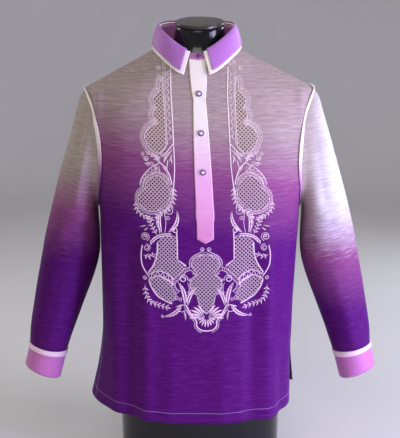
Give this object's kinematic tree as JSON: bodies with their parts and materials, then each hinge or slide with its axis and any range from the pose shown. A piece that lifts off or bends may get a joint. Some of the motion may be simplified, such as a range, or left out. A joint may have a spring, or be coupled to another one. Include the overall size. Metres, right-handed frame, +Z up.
{
  "type": "barong tagalog shirt on a dress form",
  "caption": "Long-sleeved sheer formal shirt with a half placket, contrast-edged collar and cuffs and a calado-embroidered front, hung on a smooth limbless torso form.",
  "frame": {"origin": "centre of the torso form's flat foot, on the surface it stands on", "axes": "+Z up, the shirt's front faces -Y, +X to a viewer's right as they face the front (the wearer's left)"},
  "size_m": [0.739, 0.2623, 0.9228],
  "materials": {
    "sheer": "sheer slubbed weave, shading from ecru at the shoulders to deep violet at the hem",
    "cream": "opaque double cloth, low sheen",
    "mauve": "opaque double cloth, low sheen",
    "button": "polished",
    "form": "gloss black lacquer",
    "cap": "satin dark stain"
  },
  "bodies": {
    "root": {"front": "sheer", "back": "sheer", "sleeve_left": "sheer", "sleeve_right": "sheer", "armhole_band_left": "cream", "armhole_band_right": "cream", "placket": "cream", "collar_fall": "cream", "cuff_trim_left": "cream", "cuff_trim_right": "cream", "collar_stand": "mauve", "collar_top": "mauve", "cuff_left": "mauve", "cuff_right": "mauve", "button_neck": "button", "button_1": "button", "button_2": "button", "button_3": "button", "cuff_button_left": "button", "cuff_button_right": "button", "form_torso": "form", "form_neck_cap": "cap"}
  },
  "joints": []
}
